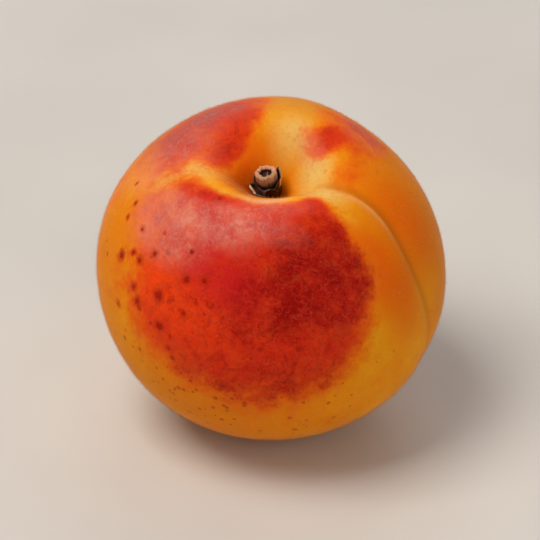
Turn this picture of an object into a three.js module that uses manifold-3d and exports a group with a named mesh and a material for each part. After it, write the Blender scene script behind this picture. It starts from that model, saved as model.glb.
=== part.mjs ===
// A ripe apricot with its short woody stalk, lying on the small flat spot that it rests on.
//
// Millimetres, +Z up. The origin is on the surface that the fruit rests on, under the middle of
// the fruit. The fruit leans towards -Y, so that its stalk hollow is seen from the front.

import * as THREE from 'three';
import { mergeVertices } from 'three/addons/utils/BufferGeometryUtils.js';
import Module from 'manifold-3d';

const wasm = await Module();
wasm.setup();

// ---- Driving dimensions: millimetres and degrees ----

const LEAN = 14; // the stalk's axis leans this far towards -Y
const TURN = -27; // the seam is turned this far round the stalk's axis, from +X
const REST_HEIGHT = 25.45; // middle of the fruit above the surface that it rests on

// The fruit's own axes: +Z along the stalk's axis, +X through the seam.
const BODY = {
  radius: 26.9, // half the width, at the widest ring
  shoulders: 26.2, // middle to the shoulders, before the stalk hollow is sunk
  tip: 25.8, // middle to the tip
  oval: 0.012, // how much longer the widest ring is along the seam's plane
  belly: { out: 0.5, polar: 115, width: 35 }, // the seam's side hangs out a little
  waves: 0.16, // slow unevenness all over
};
const HOLLOW = { depth: 10.3, radius: 5.7, long: 0.33 }; // the stalk hollow, longer along the seam
const SHOULDERS = { rise: 1.45, polar: 28, width: 16 }; // the two cheeks rise beside the hollow
const SADDLE = { height: -0.5, around: 115, spread: 24, polar: 24, width: 14 }; // a dip in the rim
const LIP = { height: -1.5, around: -88, spread: 30, polar: 17, width: 9 }; // and one in front
const KNOLL = { height: 0.6, around: -38, spread: 14, polar: 20, width: 9 }; // a rise by the seam
const SEAM = {
  depth: 1.3, // crease
  width: 2.4,
  round: 0.35, // radius at the bottom of the crease
  step: 0.9, // one cheek stands above the other along the crease
  stepWidth: 1.5,
  stepReach: 8,
  bow: 6.5, // the crease swings this far sideways on its way down
  bowPolar: 36,
  bowWidth: 20,
};
const FOLD = { depth: 1.0, width: 5.0, around: 188 }; // broad furrow opposite the seam
const TIP_DIMPLE = { depth: 1.0, radius: 3.6 };

const STALK = {
  leanLeft: 8, // towards -X
  leanBack: 5, // towards +Y
  sunk: 1.8, // length inside the flesh
  footRadius: 1.15,
  neckRadius: 1.25,
  headRadius: 1.68,
  headStart: 2.8, // heights above the bottom of the stalk hollow
  top: 5.2,
  pithRadius: 0.95, // the hollow left by the pith in the cut end
  pithDepth: 1.0,
};
const SCALES = {
  count: 7,
  ringInner: 1.6,
  ringOuter: 2.25,
  foot: 2.1, // heights above the bottom of the stalk hollow
  ringTop: 2.9,
  meanTop: 3.85,
  topSwing: 0.95, // the scales towards this side are taller, those across from it shorter
  tallSide: 20, // from +X towards +Y
  radius: 2.3, // middle of each scale from the stalk's axis
  halfWidth: 1.0,
  halfThickness: 0.42,
  flare: 12, // each scale leans outwards
};
const GAP = 0.35; // clearance between pieces that meet

const FRUIT_SEGMENTS = 84;
const FRUIT_RINGS = 46;
const POLE_CROWDING = 0.45; // share by which the rings are closer at the stalk and the tip
const SEAM_CROWDING = 0.35; // and the meridians at the seam
const ROUND_SEGMENTS = 24;

const { degToRad, radToDeg, smoothstep } = THREE.MathUtils;
const bell = (x, width) => Math.exp(-((x / width) ** 2));
const angleFrom = (angle, target) => {
  const turned = degToRad(angle - target);
  return radToDeg(Math.atan2(Math.sin(turned), Math.cos(turned)));
};

// ---- The fruit's surface ----

// How far the crease has come round at this angle from the stalk, in degrees.
function seamBow(polar) {
  return SEAM.bow * bell(polar - SEAM.bowPolar, SEAM.bowWidth);
}

// The crease between the cheeks, with the one cheek standing above the other.
function seamRelief(polar, fromSeam) {
  const sideways = BODY.radius * Math.sin(degToRad(polar)) * Math.sin(degToRad(fromSeam));
  const facing = smoothstep(Math.cos(degToRad(fromSeam)), -0.2, 0.35);
  const along = smoothstep(polar, 7, 26)
    * (1 - 0.75 * smoothstep(polar, 52, 98))
    * (1 - smoothstep(polar, 150, 177));
  const distance = Math.hypot(sideways, SEAM.round) - SEAM.round;
  const crease = -SEAM.depth * Math.exp(-distance / SEAM.width);
  const step = -SEAM.step * Math.tanh(sideways / SEAM.stepWidth)
    * Math.exp(-Math.abs(sideways) / SEAM.stepReach);
  return facing * along * (crease + step);
}

// The broad furrow on the far side of the stalk hollow.
function foldRelief(polar, fromSeam) {
  const turned = degToRad(fromSeam - FOLD.around);
  const sideways = BODY.radius * Math.sin(degToRad(polar)) * Math.sin(turned);
  const facing = smoothstep(Math.cos(turned), -0.2, 0.35);
  const along = smoothstep(polar, 6, 23) * (1 - smoothstep(polar, 34, 72));
  return -FOLD.depth * facing * along * bell(sideways, FOLD.width);
}

// The cheeks' shoulders round the stalk hollow, with the dips and the rise in its rim.
function rimRelief(polar, fromSeam) {
  const cheek = Math.sin(degToRad(fromSeam)) ** 2;
  let relief = SHOULDERS.rise * cheek * smoothstep(polar, 0, 12)
    * bell(polar - SHOULDERS.polar, SHOULDERS.width);
  for (const { height, around, spread, polar: middle, width } of [SADDLE, LIP, KNOLL]) {
    relief += height * bell(angleFrom(fromSeam, around), spread) * bell(polar - middle, width);
  }
  return relief;
}

// Slow waves in the flesh, gone at the stalk and the tip.
function waveRelief(polar, fromSeam) {
  const down = degToRad(polar);
  const round = degToRad(fromSeam);
  const two = Math.sin(2 * round + 2.2) * Math.sin(2.4 * down);
  const three = Math.sin(3 * round + 0.7) * Math.sin(3.1 * down + 1.0);
  return BODY.waves * Math.sin(down) ** 2 * (two + three);
}

// The point of the skin at an angle from the stalk and an angle round from the seam.
function skinPoint(polar, fromSeam) {
  const down = degToRad(polar);
  const halfHeight = polar < 90 ? BODY.shoulders : BODY.tip;
  const ovalRadius = BODY.radius * (1 + BODY.oval * Math.cos(2 * degToRad(fromSeam)));
  const belly = BODY.belly.out * Math.cos(degToRad(fromSeam))
    * bell(polar - BODY.belly.polar, BODY.belly.width);
  const radius = Math.sin(down) * (ovalRadius + belly);
  const height = halfHeight * Math.cos(down);

  const fromTip = (Math.PI - down) * BODY.tip;
  const relief = seamRelief(polar, fromSeam) + foldRelief(polar, fromSeam)
    + rimRelief(polar, fromSeam) + waveRelief(polar, fromSeam)
    - TIP_DIMPLE.depth * bell(fromTip, TIP_DIMPLE.radius);
  const normal = new THREE.Vector2(Math.sin(down) / BODY.radius, Math.cos(down) / halfHeight);
  normal.normalize();

  const hollowRadius = HOLLOW.radius * (1 + HOLLOW.long * Math.cos(degToRad(fromSeam)) ** 2);
  const hollow = HOLLOW.depth * bell(radius, hollowRadius) * smoothstep(Math.cos(down), -0.1, 0.3);

  const skinRadius = radius + relief * normal.x;
  const around = degToRad(fromSeam + seamBow(polar));
  return new THREE.Vector3(
    skinRadius * Math.cos(around),
    skinRadius * Math.sin(around),
    height + relief * normal.y - hollow,
  );
}

// A ball whose points are moved to the skin, closer together where the skin bends most.
function skinGeometry() {
  const geometry = weld(new THREE.SphereGeometry(1, FRUIT_SEGMENTS, FRUIT_RINGS));
  geometry.rotateX(Math.PI / 2);
  const points = geometry.getAttribute('position');
  const point = new THREE.Vector3();
  for (let i = 0; i < points.count; i += 1) {
    point.fromBufferAttribute(points, i);
    const down = Math.atan2(Math.hypot(point.x, point.y), point.z);
    const round = Math.atan2(point.y, point.x);
    const polar = down - 0.5 * POLE_CROWDING * Math.sin(2 * down);
    const fromSeam = round - SEAM_CROWDING * Math.sin(round);
    point.copy(skinPoint(radToDeg(polar), radToDeg(fromSeam)));
    points.setXYZ(i, point.x, point.y, point.z);
  }
  return geometry;
}

// ---- Solids ----

function weld(geometry) {
  geometry.deleteAttribute('normal');
  geometry.deleteAttribute('uv');
  return mergeVertices(geometry, 1e-5);
}

function toSolid(geometry) {
  const welded = weld(geometry);
  return new wasm.Manifold(new wasm.Mesh({
    numProp: 3,
    vertProperties: Float32Array.from(welded.getAttribute('position').array),
    triVerts: Uint32Array.from(welded.getIndex().array),
  }));
}

function toGeometry(solid) {
  const mesh = solid.getMesh();
  const geometry = new THREE.BufferGeometry();
  geometry.setAttribute('position', new THREE.BufferAttribute(mesh.vertProperties, 3));
  geometry.setIndex(new THREE.BufferAttribute(mesh.triVerts, 1));
  geometry.computeVertexNormals();
  return geometry;
}

// A solid turned round the Z axis from an outline of radius and height.
function turned(outline) {
  const geometry = new THREE.LatheGeometry(outline, ROUND_SEGMENTS);
  geometry.rotateX(Math.PI / 2);
  return geometry;
}

// ---- Where things are ----

const apricot = new THREE.Group();
apricot.rotation.set(degToRad(LEAN), 0, degToRad(TURN));
apricot.position.set(0, 0, REST_HEIGHT);
apricot.updateMatrixWorld(true);

const hollowBottom = skinPoint(0, 0).z;

// The stalk's group stands at the bottom of the hollow, with its lean given in the world's axes.
const stalk = new THREE.Group();
const worldLean = new THREE.Quaternion().setFromEuler(
  new THREE.Euler(degToRad(-STALK.leanBack), degToRad(-STALK.leanLeft), 0),
);
const fruitTurn = apricot.quaternion.clone();
stalk.quaternion.copy(fruitTurn.clone().invert().multiply(worldLean).multiply(fruitTurn));
stalk.position.set(0, 0, hollowBottom);
stalk.updateMatrix();

// ---- Fruit ----

function fruit() {
  const holeHeight = STALK.sunk + 2 * GAP + HOLLOW.radius / 2;
  const holeRadius = STALK.footRadius + GAP;
  const hole = new THREE.CylinderGeometry(holeRadius, holeRadius, holeHeight, ROUND_SEGMENTS);
  hole.rotateX(Math.PI / 2);
  hole.translate(0, 0, holeHeight / 2 - STALK.sunk - GAP);
  hole.applyMatrix4(stalk.matrix);

  const side = 4 * BODY.radius;
  const ground = new THREE.BoxGeometry(side, side, side);
  ground.translate(0, 0, -side / 2);
  ground.applyMatrix4(apricot.matrixWorld.clone().invert());

  const solid = toSolid(skinGeometry()).subtract(toSolid(hole)).subtract(toSolid(ground));
  const material = new THREE.MeshStandardMaterial({ color: '#e27a2c', roughness: 0.6, metalness: 0 });
  const mesh = new THREE.Mesh(toGeometry(solid), material);
  mesh.name = 'fruit';
  return mesh;
}

// ---- Stalk ----

// Outline from the foot's middle up the side and down into the pith's hollow.
function stemOutline() {
  const { sunk, footRadius, neckRadius, headRadius, headStart, top, pithRadius, pithDepth } = STALK;
  const outline = new THREE.Path();
  outline.moveTo(0, -sunk);
  outline.lineTo(footRadius, -sunk);
  outline.lineTo(neckRadius, headStart);
  outline.quadraticCurveTo(headRadius, headStart + 0.7, headRadius, headStart + 1.6);
  outline.lineTo(headRadius, top - 0.5);
  outline.quadraticCurveTo(headRadius, top, (headRadius + pithRadius) / 2, top);
  outline.quadraticCurveTo(pithRadius, top, pithRadius, top - 0.4);
  outline.lineTo(0.7 * pithRadius, top - pithDepth);
  outline.lineTo(0, top - pithDepth);
  return outline.getPoints(3);
}

function stem() {
  const material = new THREE.MeshStandardMaterial({ color: '#a9805a', roughness: 0.8, metalness: 0 });
  const mesh = new THREE.Mesh(weld(turned(stemOutline())), material);
  mesh.geometry.computeVertexNormals();
  mesh.name = 'stem';
  return mesh;
}

// ---- Bud scales ----

// The woody ring that the scales grow from.
function scaleRing() {
  const { ringInner, ringOuter, foot, ringTop } = SCALES;
  return turned([
    new THREE.Vector2(ringInner, foot),
    new THREE.Vector2(ringOuter, foot + 0.2),
    new THREE.Vector2(ringOuter, ringTop),
    new THREE.Vector2(ringInner, ringTop),
    new THREE.Vector2(ringInner, foot),
  ]);
}

// One pointed scale, a flat rounded blade that stands in the ring and leans outwards.
function scaleBlade(index) {
  const angle = (index * 2 * Math.PI) / SCALES.count;
  const fromTallSide = angle + degToRad(TURN - SCALES.tallSide);
  const top = SCALES.meanTop + SCALES.topSwing * Math.cos(fromTallSide);
  const halfHeight = (top - SCALES.foot) / 2;
  const blade = new THREE.SphereGeometry(1, 12, 8);
  blade.rotateX(Math.PI / 2);
  blade.scale(SCALES.halfThickness, SCALES.halfWidth, halfHeight);
  blade.rotateY(degToRad(SCALES.flare));
  blade.translate(SCALES.radius, 0, SCALES.foot + halfHeight);
  blade.rotateZ(angle);
  return blade;
}

function budScales() {
  const clearance = turned(stemOutline().map(
    (point) => new THREE.Vector2(point.x === 0 ? 0 : point.x + GAP, point.y),
  ));
  let solid = toSolid(scaleRing());
  for (let i = 0; i < SCALES.count; i += 1) {
    solid = solid.add(toSolid(scaleBlade(i)));
  }
  solid = solid.subtract(toSolid(clearance));
  const material = new THREE.MeshStandardMaterial({ color: '#3d1d12', roughness: 0.6, metalness: 0 });
  const mesh = new THREE.Mesh(toGeometry(solid), material);
  mesh.name = 'bud_scales';
  return mesh;
}

stalk.add(stem(), budScales());
apricot.add(fruit(), stalk);

export default apricot;
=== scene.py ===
"""A ripe apricot with its short woody stalk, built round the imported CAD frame. Metres, +Z up."""

import math

import bpy
import numpy as np
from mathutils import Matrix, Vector, noise


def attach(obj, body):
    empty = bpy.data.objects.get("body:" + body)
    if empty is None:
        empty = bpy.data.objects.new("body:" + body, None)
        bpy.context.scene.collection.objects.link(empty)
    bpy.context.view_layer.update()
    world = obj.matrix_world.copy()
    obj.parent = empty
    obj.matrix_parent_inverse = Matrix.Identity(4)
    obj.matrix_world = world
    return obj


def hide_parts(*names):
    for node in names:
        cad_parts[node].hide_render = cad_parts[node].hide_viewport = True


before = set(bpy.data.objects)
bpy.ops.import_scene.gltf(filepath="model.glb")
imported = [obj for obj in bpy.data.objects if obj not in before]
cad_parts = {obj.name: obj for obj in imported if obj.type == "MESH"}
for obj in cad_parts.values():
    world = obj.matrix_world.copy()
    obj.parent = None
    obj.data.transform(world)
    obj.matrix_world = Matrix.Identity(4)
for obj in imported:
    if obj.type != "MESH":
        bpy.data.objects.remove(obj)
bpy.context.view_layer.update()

# ---- The fruit's form: millimetres and degrees, the same driving dimensions as the CAD source ----

MM = 0.001

LEAN = 14  # the stalk's axis leans this far towards -Y
TURN = -27  # the seam is turned this far round the stalk's axis, from +X
REST_HEIGHT = 25.45  # middle of the fruit above the floor

RADIUS, SHOULDERS, TIP = 26.9, 26.2, 25.8
OVAL = 0.012
BELLY_OUT, BELLY_POLAR, BELLY_WIDTH = 0.5, 115, 35
WAVES = 0.16
HOLLOW_DEPTH, HOLLOW_RADIUS, HOLLOW_LONG = 10.3, 5.7, 0.33
SHOULDER_RISE, SHOULDER_POLAR, SHOULDER_WIDTH = 1.45, 28, 16
# Dips and rises of the hollow's rim: height, angle round from the seam, spread, polar, width.
SADDLE = (-0.5, 115, 24, 24, 14)
LIP = (-1.5, -88, 30, 17, 9)
KNOLL = (0.6, -38, 14, 20, 9)
SEAM_DEPTH, SEAM_WIDTH, SEAM_ROUND = 1.3, 2.4, 0.35
SEAM_STEP, SEAM_STEP_WIDTH, SEAM_STEP_REACH = 0.9, 1.5, 8.0
SEAM_BOW, SEAM_BOW_POLAR, SEAM_BOW_WIDTH = 6.5, 36, 20
SEAM_START, SEAM_FADE, SEAM_END = (7, 26), (52, 98), (150, 177)  # polar angles
SEAM_LOSS = 0.75  # share of its depth that the seam loses where it fades
FOLD_DEPTH, FOLD_WIDTH, FOLD_AROUND = 1.0, 5.0, 188
FOLD_START, FOLD_END = (6, 23), (34, 72)
DIMPLE_DEPTH, DIMPLE_RADIUS = 1.0, 3.6

# Fine relief that only the render's mesh has room for.
PUCKER_DEPTH, PUCKER_COUNT, PUCKER_REACH = 0.08, 17, 9.0  # little folds round the stalk
LUMP_HEIGHT, LUMP_SIZE = 0.07, 4.5  # uneven flesh under the skin
GRAIN_HEIGHT, GRAIN_SIZE = 0.022, 1.3
SPOT_EDGE = 0.12  # how softly the flat spot meets the sides

RINGS, MERIDIANS = 216, 440
POLE_CROWDING, SEAM_CROWDING = 0.35, 0.3

# The stalk stands at the bottom of the hollow; heights are above it, along the stalk's axis.
STALK_LEAN_LEFT, STALK_LEAN_BACK = 8, 5  # towards -X and +Y
STALK_SUNK, STALK_TOP = 1.8, 5.2
FOOT_RADIUS, NECK_RADIUS, HEAD_RADIUS, HEAD_START = 1.15, 1.25, 1.68, 2.8
PITH_RADIUS, PITH_DEPTH = 0.95, 1.0
SWELL_LENGTH = 1.4  # of the head, from the neck to its full width
RIM_ROUNDING = 0.3
STALK_PALE_SIDE = -63  # degrees round the stalk, where its bark has weathered to beige
STALK_SIDES = 56

# Waves round the stalk: height, count and phase. Lobes are shares of the radius.
STALK_LOBES = [(0.05, 3, 1.0), (0.035, 5, 2.2), (0.02, 11, 0.0)]
NECK_SHARE = 0.35  # of the lobes' height, below the head
CUT_WAVES = [(0.12, 2, 0.4), (0.07, 7, 1.3), (0.05, 13, 0.0)]
RING_LOBES = [(0.04, 7, 0.0), (0.03, 12, 1.0)]
RING_WAVES = [(0.08, 5, 0.0)]
BARK_DEPTH, BARK_SIZE, BARK_SQUASH = 0.05, 0.45, 0.4  # the depth is a share of the radius

# The outer whorl of bud scales stands taller towards one side, the inner one is even.
SCALE_COUNT, SCALE_FOOT, SCALE_MEAN_TOP, SCALE_TOP_SWING = 7, 1.2, 3.85, 0.95
SCALE_TALL_SIDE = 20  # from +X towards +Y
SCALE_RADIUS, SCALE_STAGGER = 1.8, 0.14  # every other scale stands further out
SCALE_FLARE, SCALE_FLARE_SWING = 0.62, -0.28  # the tall ones lean out less
SCALE_HALF_WIDTH, SCALE_THICKNESS = 1.15, 0.26
INNER_COUNT, INNER_FOOT, INNER_TOP = 5, 0.8, 3.2
INNER_RADIUS, INNER_FLARE, INNER_HALF_WIDTH = 1.55, 0.2, 0.9
# How worn and pale the two edges of a scale are, for each outer one in turn, and for the inner ones.
SCALE_WEAR = [(0.1, 1.3), (0.5, 0.3), (0.1, 0.1), (0.2, 0.1), (0.2, 0.8), (1.3, 0.3), (0.3, 0.1)]
INNER_WEAR = (0.1, 0.1)
SCALE_UNEVEN, INNER_UNEVEN = (-0.15, 0.15), (-0.3, 0.4)  # added at random to a scale's height
BLADE_CURL, BLADE_SWAY = (0.0, 0.35), (-0.25, 0.25)  # of its tip: outwards, and to the side
BLADE_ACROSS, BLADE_ALONG = 11, 15  # points of a scale's mesh

# The woody ring that the scales grow from: radius and height, up its outside and over its top.
RING_SIDE = [
    (1.3, 0.5),
    (1.7, 0.7),
    (2.0, 1.2),
    (2.12, 1.8),
    (2.05, 2.4),
    (1.8, 2.8),
    (1.5, 2.9),
    (1.2, 2.7),
]
RING_SIDES = 40

# Large freckles: angle from the stalk, angle round from the seam, radius in millimetres.
FRECKLES = [
    (63, -133, 0.85),
    (67, -120, 0.80),
    (63, -108, 0.90),
    (52, -118, 0.80),
    (44, -101, 0.65),
    (70, -116, 0.95),
    (58, -123, 0.80),
    (64, -96, 0.80),
    (50, -131, 0.65),
    (73, -104, 0.80),
    (78, -125, 0.70),
    (49, -146, 0.50),
    (54, -143, 0.50),
    (58, -128, 0.60),
    (53, -99, 0.80),
    (51, -91, 0.75),
    (24.5, -104, 0.55),
    (49.5, -159, 0.45),
    (44.5, -119, 0.45),
]

# Pieces of down, each with its hairs' mean length.
DOWN_PIECES = {"down_short": 0.32, "down_middling": 0.42, "down_long": 0.52}
DOWN_HAIRS = 46000  # in each piece
DOWN_RADIUS = 0.010
DOWN_ROOT = 0.06  # how deep a hair starts under the skin
DOWN_LENGTHS = (0.5, 1.35)  # shares of the mean length
DOWN_LEAN = (25, 68)  # from straight up, in degrees
DOWN_SWIRL, DOWN_SWIRL_SIZE = 4.0, 2.2  # the heading drifts by this angle, in radians, over this length
DOWN_TOUSLE = 0.7  # how much the headings of neighbours differ, in radians
DOWN_FLOOR = 0.15  # no hair reaches lower than this
BARE_CREASE = 0.7  # no hairs this close to the seam's bottom,
BARE_CREASE_END = 110  # as far down as this, in degrees from the stalk,
BARE_FOOT = 4.2  # nor this close to the stalk's axis


def smoothstep(x, low, high):
    t = np.clip((x - low) / (high - low), 0, 1)
    return t * t * (3 - 2 * t)


def bell(x, width):
    return np.exp(-((x / width) ** 2))


def field(points, size):
    """Smooth noise, about -1 to 1, whose features are about size across."""
    return np.array([noise.noise(Vector(p)) for p in points / size])


def angle_from(angle, target):
    return (angle - target + 180) % 360 - 180


def seam_bow(polar):
    """How far the crease has come round at this angle from the stalk."""
    return SEAM_BOW * bell(polar - SEAM_BOW_POLAR, SEAM_BOW_WIDTH)


def near_side(turn):
    """1 on the side of the fruit where turn is near 0, and 0 on the other."""
    return smoothstep(np.cos(turn), -0.2, 0.35)


def relief(polar, from_seam):
    """Height of the skin over the plain egg shape: seam, furrow, shoulders, tip and slow waves."""
    down, turn = np.radians(polar), np.radians(from_seam)
    sideways = RADIUS * np.sin(down) * np.sin(turn)
    along = (
        smoothstep(polar, *SEAM_START)
        * (1 - SEAM_LOSS * smoothstep(polar, *SEAM_FADE))
        * (1 - smoothstep(polar, *SEAM_END))
    )
    crease = -SEAM_DEPTH * np.exp(-(np.hypot(sideways, SEAM_ROUND) - SEAM_ROUND) / SEAM_WIDTH)
    step = -SEAM_STEP * np.tanh(sideways / SEAM_STEP_WIDTH)
    step = step * np.exp(-np.abs(sideways) / SEAM_STEP_REACH)
    height = near_side(turn) * along * (crease + step)

    fold_turn = np.radians(from_seam - FOLD_AROUND)
    fold_along = smoothstep(polar, *FOLD_START) * (1 - smoothstep(polar, *FOLD_END))
    fold_side = RADIUS * np.sin(down) * np.sin(fold_turn)
    height = height - FOLD_DEPTH * near_side(fold_turn) * fold_along * bell(fold_side, FOLD_WIDTH)

    shoulder = np.sin(turn) ** 2 * smoothstep(polar, 0, 12)
    height = height + SHOULDER_RISE * shoulder * bell(polar - SHOULDER_POLAR, SHOULDER_WIDTH)
    for rise, round_at, spread, down_at, width in (SADDLE, LIP, KNOLL):
        across = bell(angle_from(from_seam, round_at), spread)
        height = height + rise * across * bell(polar - down_at, width)

    height = height - DIMPLE_DEPTH * bell((math.pi - down) * TIP, DIMPLE_RADIUS)
    two = np.sin(2 * turn + 2.2) * np.sin(2.4 * down)
    three = np.sin(3 * turn + 0.7) * np.sin(3.1 * down + 1.0)
    return height + WAVES * np.sin(down) ** 2 * (two + three)


def skin_points(polar, from_seam):
    """Points of the skin in the fruit's own frame, +Z along the stalk and +X through the seam."""
    down, turn = np.radians(polar), np.radians(from_seam)
    half_height = np.where(polar < 90, SHOULDERS, TIP)
    oval = RADIUS * (1 + OVAL * np.cos(2 * turn))
    belly = BELLY_OUT * np.cos(turn) * bell(polar - BELLY_POLAR, BELLY_WIDTH)
    radius = np.sin(down) * (oval + belly)
    lift = relief(polar, from_seam)

    pucker = np.sin(PUCKER_COUNT * turn + 1.7 * np.sin(3 * turn) + 0.08 * polar)
    near_rim = smoothstep(radius, 1.5, 4.0)
    near_rim = near_rim * (1 - smoothstep(radius, PUCKER_REACH, 1.7 * PUCKER_REACH))
    lift = lift + PUCKER_DEPTH * near_rim * pucker * (0.6 + 0.4 * np.sin(2 * turn + 0.5))

    out, up = np.sin(down) / RADIUS, np.cos(down) / half_height
    length = np.hypot(out, up)
    hollow_radius = HOLLOW_RADIUS * (1 + HOLLOW_LONG * np.cos(turn) ** 2)
    hollow = HOLLOW_DEPTH * bell(radius, hollow_radius) * smoothstep(np.cos(down), -0.1, 0.3)
    around = np.radians(from_seam + seam_bow(polar))
    skin_radius = radius + lift * out / length
    height = half_height * np.cos(down) + lift * up / length - hollow
    return np.stack(
        [skin_radius * np.cos(around), skin_radius * np.sin(around), height], -1
    )


def turned(axis, degrees):
    """The matrix of a turn about X, Y or Z."""
    c, s = math.cos(math.radians(degrees)), math.sin(math.radians(degrees))
    if axis == "X":
        return np.array([[1, 0, 0], [0, c, -s], [0, s, c]])
    if axis == "Y":
        return np.array([[c, 0, s], [0, 1, 0], [-s, 0, c]])
    return np.array([[c, -s, 0], [s, c, 0], [0, 0, 1]])


def turn_matrix():
    """From the fruit's own frame to the world's: round the stalk, then over towards -Y."""
    return turned("X", LEAN) @ turned("Z", TURN)


def to_world(points):
    """The fruit's own millimetres to the world's, before the flat spot is pressed in."""
    return points @ turn_matrix().T + np.array([0, 0, REST_HEIGHT])


def press_flat(points):
    """Presses what would reach below the floor into a flat spot with a soft edge."""
    pressed = points.copy()
    z = points[..., 2]
    pressed[..., 2] = 0.5 * (z + np.sqrt(z * z + SPOT_EDGE**2))
    return pressed


# ---- Where colours lie: patches of the skin, each an ellipse on it, in degrees ----


def directions(polar, around):
    down, turn = np.radians(polar), np.radians(around)
    return np.stack(
        [np.sin(down) * np.cos(turn), np.sin(down) * np.sin(turn), np.cos(down)], -1
    )


def patch(skin, polar, around, half_down, half_round, tilt=0.0, soft=0.5):
    """1 inside an ellipse centred at polar, around, and 0 outside, with a soft share as its edge."""
    centre = directions(np.float64(polar), np.float64(around))
    down, turn = math.radians(polar), math.radians(around)
    to_tip = np.array(
        [math.cos(down) * math.cos(turn), math.cos(down) * math.sin(turn), -math.sin(down)]
    )
    to_round = np.array([-math.sin(turn), math.cos(turn), 0.0])
    ahead = skin @ centre
    x = np.degrees(np.arctan2(skin @ to_round, ahead))
    y = np.degrees(np.arctan2(skin @ to_tip, ahead))
    c, s = math.cos(math.radians(tilt)), math.sin(math.radians(tilt))
    reach = np.hypot((x * c + y * s) / half_round, (y * c - x * s) / half_down)
    return 1 - smoothstep(reach, 1 - soft, 1 + soft)


def together(*masks):
    """Joins masks as veils laid over each other."""
    clear = 1.0
    for mask in masks:
        clear = clear * (1 - mask)
    return 1 - clear


def band(value, low, high, soft_low, soft_high):
    """1 between low and high, fading over soft_low and soft_high to each side of them."""
    rise = smoothstep(value, low - soft_low, low + soft_low)
    return rise * (1 - smoothstep(value, high - soft_high, high + soft_high))


def freckle_field(skin):
    """1 in the middle of each of the large freckles, falling to 0 at twice its radius."""
    nearest = np.zeros(len(skin))
    for polar, around, radius in FRECKLES:
        centre = directions(np.float64(polar), np.float64(around))
        apart = np.arccos(np.clip(skin @ centre, -1, 1)) * RADIUS
        nearest = np.maximum(nearest, 1 - apart / (2 * radius))
    return nearest


def beside_seam(polar, from_seam):
    """Millimetres to the side of the seam's bottom, along the skin."""
    turn = np.radians(from_seam)
    sideways = RADIUS * np.sin(np.radians(polar)) * np.sin(turn)
    return np.where(np.cos(turn) > 0, sideways, np.copysign(RADIUS, sideways))


def seam_masks(polar, around):
    """The crease itself, the painted shade on its far side and the painted highlight on the edge of the
    near lobe.
    """
    sideways = beside_seam(polar, around - seam_bow(polar))
    below_rim = smoothstep(polar, 12, 24)
    fading = 1 - 0.8 * smoothstep(polar, 60, 120)
    return {
        "crease": below_rim * bell(sideways, 1.8),
        "seam": below_rim * fading * bell(sideways - 0.5, 0.9),
        "lobe_edge_highlight": band(polar, 27, 48, 6, 9) * bell(sideways + 1.3, 0.8),
    }


def front_blush(polar, around):
    """The large blush on the front cheek, between slanting left and right edges."""
    low = np.clip(polar - 50, 0, 60)
    lower = np.clip(polar - 58, 0, 60)
    right_edge = -20 - 0.33 * low - 0.010 * lower**2
    left_edge = -132 + 0.026 * lower**2
    front = band(polar, 21 + 2.5 * bell(around + 122, 22), 103, 3.5, 24)
    front = front * smoothstep(around, left_edge - 20, left_edge + 36)
    inner, outer = right_edge - 9 - 0.25 * low, right_edge + 8 + 0.15 * low
    front = front * (1 - smoothstep(around, inner, outer))
    return front * (1 - 0.35 * smoothstep(polar, 70, 98))


def red_masks(skin, polar, around):
    """Where the skin is red, and where the red is deep, vivid, pure or pale."""
    return {
        "blush": together(
            front_blush(polar, around),
            0.3 * patch(skin, 28.5, -125, 4.5, 9, soft=0.8),
            0.4 * patch(skin, 42, -132, 10, 12, soft=0.8),
            0.85 * patch(skin, 18, 162, 5, 13, tilt=-12, soft=0.8),
            0.8 * patch(skin, 33, 164, 14, 18, soft=0.8),
            0.5 * patch(skin, 33, -168, 6, 7, soft=0.8),
            0.5 * patch(skin, 31, 140, 6, 10, soft=0.9),
            0.3 * patch(skin, 66, 176, 34, 26, soft=0.9),
            0.85 * patch(skin, 22.3, 55, 5.2, 4.0, soft=0.9),
            0.4 * patch(skin, 17, 60, 4, 5, soft=0.9),
            0.3 * patch(skin, 28, 42, 4, 6, tilt=25, soft=0.8),
            0.6 * patch(skin, 37, 60, 14, 12, soft=0.9),
            0.3 * patch(skin, 49, -19, 9, 5, soft=0.9),
            0.55 * patch(skin, 27, 19, 4.5, 7, tilt=30, soft=0.9),
        ),
        "deep": together(
            0.75 * patch(skin, 45, -46, 12, 26, tilt=-14, soft=0.8),
            0.6 * patch(skin, 53, -62, 11, 34, tilt=-8, soft=0.9),
            0.5 * patch(skin, 50, -36, 12, 14, soft=0.9),
            0.35 * patch(skin, 86, -58, 20, 30, soft=0.9),
            0.3 * patch(skin, 27.5, -112, 4, 9, soft=0.9),
            0.3 * patch(skin, 18, 166, 4, 13, soft=0.9),
            0.2 * patch(skin, 21.5, 53, 4, 4, soft=0.9),
        ),
        "vivid": 0.9 * patch(skin, 61, -110, 16, 20, soft=0.9),
        "crimson": together(
            0.8 * patch(skin, 28, -110, 4, 11, soft=0.9),
            0.8 * patch(skin, 43, -90, 8, 11, soft=0.9),
            0.5 * patch(skin, 51, -84, 8, 12, soft=0.9),
        ),
        "salmon": together(
            0.6 * patch(skin, 46, -132, 8, 8, soft=0.9),
            0.35 * patch(skin, 42, -122, 9, 9, soft=0.9),
            0.5 * patch(skin, 44, -162, 6, 8, soft=0.9),
            0.4 * patch(skin, 62, -168, 14, 7, soft=0.9),
        ),
    }


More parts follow.
